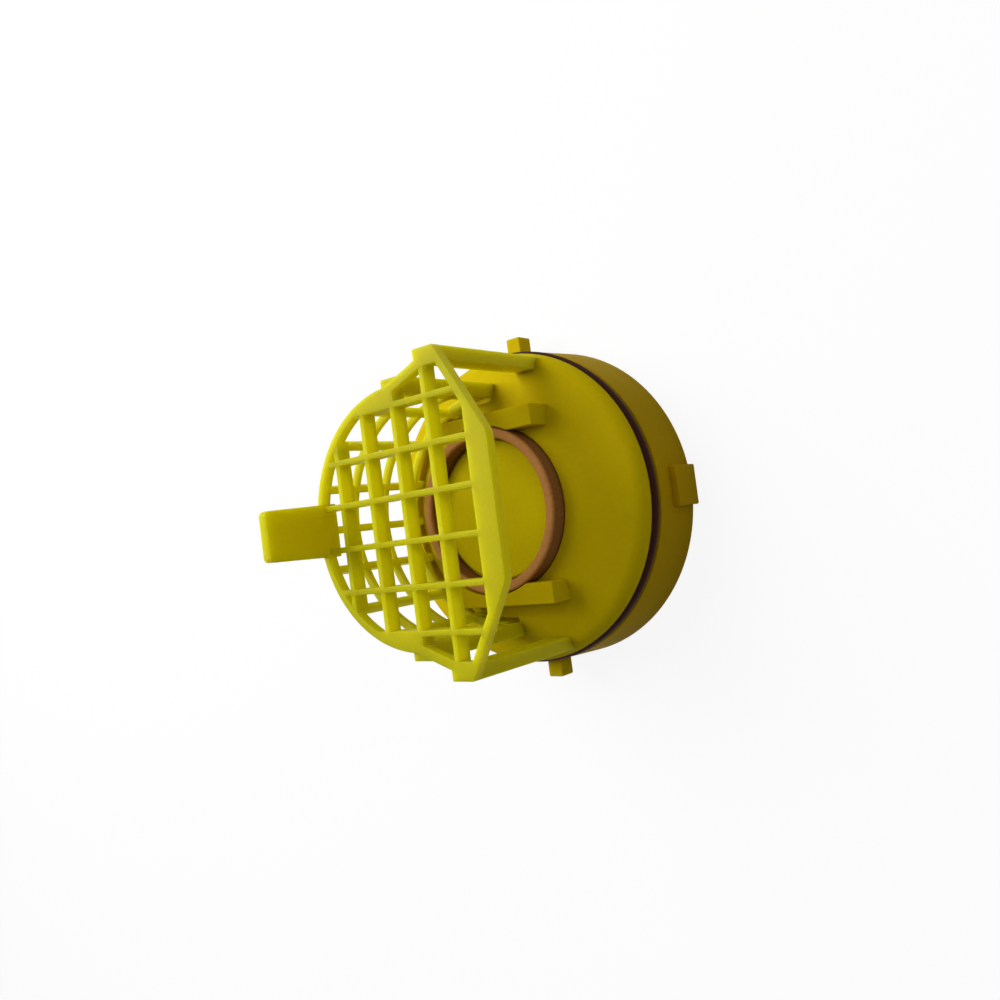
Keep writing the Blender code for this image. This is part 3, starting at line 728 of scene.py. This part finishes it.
class QUEENCAGE_OT_front_shell(bpy.types.Operator):
    """Models the cone-fronted half of the drum with its skirt, guide rails and basket groove"""

    bl_idname = "queen_cage.front_shell"
    bl_label = "Front shell"

    def execute(self, context):
        drum = context.scene.queen_cage_drum
        basket = context.scene.queen_cage_basket
        under = drum.wall / math.cos(drum.cone_angle)
        bore = drum.ring_outer + drum.ring_gap
        boss = bore + drum.wall
        flange_bottom = JOINT_HEIGHT + drum.cone_rise - drum.flange_drop - drum.flange
        seat_top = flange_bottom - drum.gap
        seat_bottom = JOINT_HEIGHT + drum.seat_rise
        skirt_inner = drum.skirt - drum.skirt_wall
        cap_top = JOINT_HEIGHT - drum.joint / 2
        neck_bottom = cap_top + drum.gap
        profile = [(drum.neck, JOINT_HEIGHT + drum.joint / 2)] + shoulder_arc(drum)
        profile += [(bore, cone_height(drum, bore), drum.edge), (bore, seat_top)]
        profile += [(drum.seat_radius, seat_top), (drum.seat_radius, seat_bottom), (boss, seat_bottom)]
        profile += [(boss, cone_height(drum, boss) - under)]
        profile += [(skirt_inner, cone_height(drum, skirt_inner) - under)]
        profile += [(skirt_inner, drum.skirt_bottom, drum.edge), (drum.skirt, drum.skirt_bottom, drum.edge)]
        profile += [(drum.skirt, neck_bottom), (drum.neck, neck_bottom)]
        shell = turned("drum_shell", profile)
        key_top = cap_top - drum.ledge - drum.gap
        key = block(drum.skirt - drum.skirt_wall / 2, drum.key_radius, key_top - drum.ledge, key_top)
        keys = [
            swept(f"key_{index}", key, middle, drum.key_span, drum.edge)
            for index, middle in enumerate(LOCK_ANGLES)]
        rails = []
        for side in (1, -1):
            near, far = sorted((drum.rail_inner * side, drum.rail_outer * side))
            low = (drum.rail_left, near, cone_height(drum, drum.rail_outer) - drum.wall / 2)
            high = (drum.rail_right, far, JOINT_HEIGHT + drum.rail_rise)
            rail = bar(f"rail_{side}", low, high, drum.edge)
            clear = turned(f"clear_{side}", block(0.0, bore + drum.sink, 0.0, TAB_TOP))
            rails.append(combine(rail, [clear], "DIFFERENCE"))
        combine(shell, keys + rails)
        wall_outer = basket.radius - drum.sink
        bottom = cone_height(drum, wall_outer) - basket.foot - drum.gap
        slot = block(wall_outer - basket.wall - drum.gap, wall_outer + drum.gap, bottom, RING_TOP)
        combine(shell, [swept("groove", slot, math.pi, drum.groove)], "DIFFERENCE")
        finish = context.scene.queen_cage_finish
        plastic = moulded_plastic("shell_plastic", finish, "drum", finish.drum)
        hand_over(shell, "front_shell", "drum_front", plastic)
        return {"FINISHED"}


class QUEENCAGE_OT_stopper(bpy.types.Operator):
    """Models the stopper in the cone and the copper-brown ring round its head"""

    bl_idname = "queen_cage.stopper"
    bl_label = "Stopper and ring"

    def execute(self, context):
        drum = context.scene.queen_cage_drum
        cone_top = JOINT_HEIGHT + drum.cone_rise
        top = cone_top + drum.stopper_lift
        flange_top = cone_top - drum.flange_drop
        flange_bottom = flange_top - drum.flange
        spigot = drum.seat_radius - drum.gap
        hollow = spigot - drum.spigot_wall
        hollow_top = flange_top - drum.spigot_wall
        bottom = JOINT_HEIGHT + drum.seat_rise
        stopper = turned("stopper_plug", [
            (0.0, top), (0.0, hollow_top), (hollow, hollow_top), (hollow, bottom),
            (spigot, bottom, drum.edge), (spigot, flange_bottom),
            (drum.ring_outer, flange_bottom), (drum.ring_outer, flange_top),
            (drum.stopper_radius, flange_top), (drum.stopper_radius, top, drum.stopper_round)])
        low = flange_top + drum.gap
        ring = turned("stopper_ring", [
            (drum.ring_inner, low), (drum.ring_outer, low), (drum.ring_outer, RING_TOP, drum.ring_round),
            (drum.ring_inner, RING_TOP, drum.ring_round)])
        finish = context.scene.queen_cage_finish
        # Paler plastic on the stopper: painted light for the disc under the grid's shade.
        plastic = moulded_plastic("stopper_plastic_painted_light", finish, "drum", finish.stopper)
        hand_over(stopper, "stopper", "stopper_plug", plastic)
        # Painted light and shade on the copper ring: a paler top band as if lit, a darker wall as if shaded.
        # The dust specks are real.
        with_painted_light = rubber("ring_rubber_painted_light_and_shade", finish.ring, finish.ring_dust, finish.ring_top_painted_light,
                      (RING_TOP - finish.painted_light_band, RING_TOP))
        hand_over(ring, "stopper_seal", "stopper_plug", with_painted_light)
        return {"FINISHED"}


class QUEENCAGE_OT_candy(bpy.types.Operator):
    """Models the cake of sugar paste on the floor of the drum"""

    bl_idname = "queen_cage.candy"
    bl_label = "Candy cake"

    def execute(self, context):
        drum = context.scene.queen_cage_drum
        bottom = drum.cap_floor + drum.gap
        top = bottom + drum.candy_height
        candy = turned("sugar_cake", [
            (0.0, top), (0.0, bottom), (drum.candy_radius, bottom, drum.edge),
            (drum.candy_radius, top, drum.candy_round)])
        finish = context.scene.queen_cage_finish
        hand_over(candy, "candy_cake", "drum_back", sugar_paste("sugar_paste", finish.candy))
        return {"FINISHED"}


def grid_rim(basket, front):
    """Returns the flat rim of the grid: a half circle, two strap ends and a bent bar.

    Between the half circle and the outermost cross ribs the rim is a closed web.
    """
    lean = math.tan(basket.bar_lean)
    bend = basket.strap_outer - (basket.bar_right - basket.strap_right) / lean
    corner = (basket.bar_right - basket.bar_round, bend - basket.bar_round * math.tan(basket.bar_lean / 2))
    outer = [(basket.bar_right, 0.0)] + arc(corner, basket.bar_round, 0.0, basket.bar_lean, BEND_STEPS)
    outer += [(basket.strap_right, basket.strap_outer), (basket.strap_left, basket.strap_outer)]
    outer += [(basket.strap_left, basket.strap_inner)]
    outer += arc((0, 0), basket.radius, basket.rim_start, math.pi, RIM_STEPS)
    slant = basket.strap_right + basket.strap_outer * lean - basket.rim / math.cos(basket.bar_lean)
    top = basket.strap_inner - basket.rim
    inner = [(basket.bar_left, 0.0), (basket.bar_left, (slant - basket.bar_left) / lean)]
    inside = basket.radius - basket.rim
    web = basket.pitch * CROSS_RIBS[-1]
    web_end = math.pi - math.asin(web / inside)
    inner += [(slant - top * lean, top), (basket.strap_left + basket.rim, top), (0.0, inside), (0.0, web)]
    inner += arc((0, 0), inside, web_end, math.pi, WEB_STEPS)
    shape = bmesh.new()
    shape.faces.new([shape.verts.new((x, y, front - basket.rim_depth)) for x, y in outer + inner[::-1]])
    half = shape.verts[:] + shape.edges[:] + shape.faces[:]
    bmesh.ops.mirror(shape, geom=half, axis="Y", merge_dist=SEAM_MERGE)
    thicken(shape, (0, 0, basket.rim_depth), basket.edge)
    return placed("basket_shell", shape)


def grid_chord(basket, across):
    """Returns the lowest and highest X of the middle of the rim at a Y."""
    reach = basket.radius - basket.rim / 2
    left = -math.sqrt(max(reach ** 2 - across ** 2, 0.0))
    lean = math.tan(basket.bar_lean)
    slant = basket.strap_right + (basket.strap_outer - abs(across)) * lean - basket.rim / 2
    return left, min(basket.bar_left + basket.rim / 2, slant)


def grid_reach(basket, along):
    """Returns the highest Y of the middle of the rim at an X."""
    if along < 0.0:
        return math.sqrt((basket.radius - basket.rim / 2) ** 2 - along ** 2)
    climb = min(along / basket.strap_left, 1.0)
    return basket.radius + (basket.strap_inner - basket.radius) * climb - basket.rim / 2


def grid_ribs(basket, front):
    """Returns the ribs of the grid, each one a bar that ends inside the rim."""
    half = basket.rib / 2
    back = front - basket.depth
    parts = []
    for step in CROSS_RIBS:
        across = basket.pitch * step
        left, right = grid_chord(basket, across)
        low = (left, across - half, back + basket.inset)
        high = (right, across + half, front - basket.inset)
        parts.append(bar(f"cross_rib_{step}", low, high, basket.edge))
    for step in RIBS:
        along = basket.pitch * step
        reach = grid_reach(basket, along)
        low = (along - half, -reach, back)
        high = (along + half, reach, front - 2 * basket.inset)
        parts.append(bar(f"rib_{step}", low, high, basket.edge))
    return parts


def wall_parts(basket, drum, front):
    """Returns the uprights and hoops of the half-round wall."""
    outer = basket.radius - drum.sink
    inner = outer - basket.wall
    bottom = cone_height(drum, outer) - basket.foot
    top = front - basket.rim_depth / 2
    side = [math.asin(basket.pitch * step / basket.radius) for step in UPRIGHTS]
    side.append((side[-1] + math.pi / 2) / 2)
    parts = []
    for index, turn in enumerate([0.0] + side + [-turn for turn in side]):
        low = (inner, -basket.upright / 2, bottom)
        high = (outer, basket.upright / 2, top)
        parts.append(bar(f"upright_{index}", low, high, basket.edge, math.pi + turn))
    for step in HOOPS:
        high = front - basket.pitch * step
        hoop = block(inner, outer, high - basket.rib, high)
        parts.append(swept(f"hoop_{step}", hoop, math.pi, math.pi, basket.edge))
    return parts


def runner(name, basket, drum, front, sides, depth, side):
    """Returns a straight member that runs from the grid down to the shoulder of the shell."""
    low, high = sorted((depth[0] * side, depth[1] * side))
    top = front - basket.rim_depth / 2
    member = bar(name, (sides[0], low, JOINT_HEIGHT + drum.joint / 2), (sides[1], high, top), basket.edge)
    contour = [(0.0, 0.0), (drum.rim_radius + drum.gap, 0.0)] + shoulder_arc(drum, drum.gap)
    contour += [(0.0, cone_height(drum, 0.0, drum.gap))]
    return combine(member, [turned(f"{name}_seat", contour)], "DIFFERENCE")


def finger_tab(basket, drum, front):
    """Returns the tab that carries the wall on past the grid."""
    face = drum.sink - basket.radius
    root = front - basket.depth
    half, tip = basket.tab_root / 2, basket.tab_tip / 2
    shape = bmesh.new()
    corners = [(half, root), (tip, TAB_TOP), (-tip, TAB_TOP), (-half, root)]
    verts = [shape.verts.new((face, y, z)) for y, z in corners]
    shape.faces.new(verts)
    round_corners(shape, verts[1:3], basket.tab_round, BEND_STEPS)
    thicken(shape, (basket.tab_thickness, 0, 0), basket.tab_edge, ROUND_SEGMENTS)
    return placed("tab", shape)


class QUEENCAGE_OT_basket(bpy.types.Operator):
    """Models the mesh basket in one: rim, ribs, half-round wall, straps, edge posts and tab"""

    bl_idname = "queen_cage.basket"
    bl_label = "Mesh basket"

    def execute(self, context):
        drum = context.scene.queen_cage_drum
        basket = context.scene.queen_cage_basket
        front = JOINT_HEIGHT + basket.front
        shell = grid_rim(basket, front)
        parts = grid_ribs(basket, front) + wall_parts(basket, drum, front) + [finger_tab(basket, drum, front)]
        for side in (1, -1):
            parts.append(runner(f"strap_{side}", basket, drum, front, (basket.strap_left, basket.strap_right),
                                (basket.strap_back, basket.strap_outer), side))
            parts.append(runner(f"post_{side}", basket, drum, front, (basket.post_left, basket.post_right),
                                (basket.post_inner, basket.post_outer), side))
        combine(shell, parts)
        finish = context.scene.queen_cage_finish
        plastic = moulded_plastic("basket_plastic", finish, "basket", finish.basket)
        hand_over(shell, "cage_basket", "basket", plastic)
        return {"FINISHED"}


def soft_lamp(name, place, aim, width, power):
    """Adds a square area lamp that faces a point."""
    lamp = bpy.data.lights.new(name, "AREA")
    lamp.shape = "SQUARE"
    lamp.size = width
    lamp.energy = power
    item = bpy.data.objects.new(name, lamp)
    item.location = place
    item.rotation_euler = (Vector(aim) - Vector(place)).to_track_quat("-Z", "Y").to_euler()
    bpy.context.scene.collection.objects.link(item)


class QUEENCAGE_OT_stage(bpy.types.Operator):
    """Sets up the floor, the soft light and the camera"""

    bl_idname = "queen_cage.stage"
    bl_label = "Stage"

    def execute(self, context):
        scene = context.scene
        stage = scene.queen_cage_stage
        middle = Vector((0.0, 0.0, JOINT_HEIGHT))
        shape = bmesh.new()
        bmesh.ops.create_grid(shape, x_segments=FLOOR_SEGMENTS, y_segments=FLOOR_SEGMENTS, size=FLOOR_REACH)
        floor = placed("floor", shape)
        floor.data.materials.append(pale_floor("floor_paper", stage.floor))

        world = bpy.data.worlds.new("studio")
        world.use_nodes = True
        scene.world = world
        tree = world.node_tree
        strength = stage.surround + direct_rays(tree) * (1.0 - stage.surround)
        feed(tree.nodes["Background"], {"Color": WHITE, "Strength": strength})

        soft_lamp("key_lamp", middle + Vector(stage.key_place), middle, stage.lamp_width, stage.key)
        soft_lamp("fill_lamp", middle + Vector(stage.fill_place), middle, stage.lamp_width, stage.fill)

        view = bpy.data.cameras.new("photo_camera")
        view.lens = stage.lens
        view.sensor_width = SENSOR_WIDTH
        view.clip_start = CLIP_START
        camera = bpy.data.objects.new("photo_camera", view)
        camera.location = middle + Vector(stage.camera_place)
        camera.rotation_euler = stage.camera_turn
        scene.collection.objects.link(camera)
        scene.camera = camera
        scene.view_settings.view_transform = "Standard"
        return {"FINISHED"}


class QUEENCAGE_PT_panel(bpy.types.Panel):
    """Lists the pieces of the queen cage and their sizes"""

    bl_idname = "QUEENCAGE_PT_panel"
    bl_label = "Queen cage"
    bl_space_type = "VIEW_3D"
    bl_region_type = "UI"
    bl_category = "Queen Cage"

    def draw(self, context):
        for operator in OPERATORS:
            self.layout.operator(operator.bl_idname)
        for name in GROUPS:
            group = getattr(context.scene, name)
            box = self.layout.box()
            box.label(text=group.bl_rna.description)
            for key in group.__annotations__:
                box.prop(group, key)


OPERATORS = (
    QUEENCAGE_OT_stage,
    QUEENCAGE_OT_back_cap,
    QUEENCAGE_OT_main_seal,
    QUEENCAGE_OT_front_shell,
    QUEENCAGE_OT_stopper,
    QUEENCAGE_OT_candy,
    QUEENCAGE_OT_basket,
)
GROUPS = {
    "queen_cage_drum": QueenCageDrum,
    "queen_cage_basket": QueenCageBasket,
    "queen_cage_finish": QueenCageFinish,
    "queen_cage_stage": QueenCageStage,
}


def register():
    """Registers the sizes, the operators and the panel."""
    for item in (*GROUPS.values(), *OPERATORS, QUEENCAGE_PT_panel):
        bpy.utils.register_class(item)
    for name, group in GROUPS.items():
        setattr(bpy.types.Scene, name, bpy.props.PointerProperty(type=group))


def unregister():
    """Removes what register added."""
    for name in GROUPS:
        delattr(bpy.types.Scene, name)
    for item in (QUEENCAGE_PT_panel, *reversed(OPERATORS), *GROUPS.values()):
        bpy.utils.unregister_class(item)


def main():
    """Builds the whole scene."""
    register()
    bpy.ops.queen_cage.stage()
    bpy.ops.queen_cage.back_cap()
    bpy.ops.queen_cage.main_seal()
    bpy.ops.queen_cage.front_shell()
    bpy.ops.queen_cage.stopper()
    bpy.ops.queen_cage.candy()
    bpy.ops.queen_cage.basket()


if __name__ == "__main__":
    main()
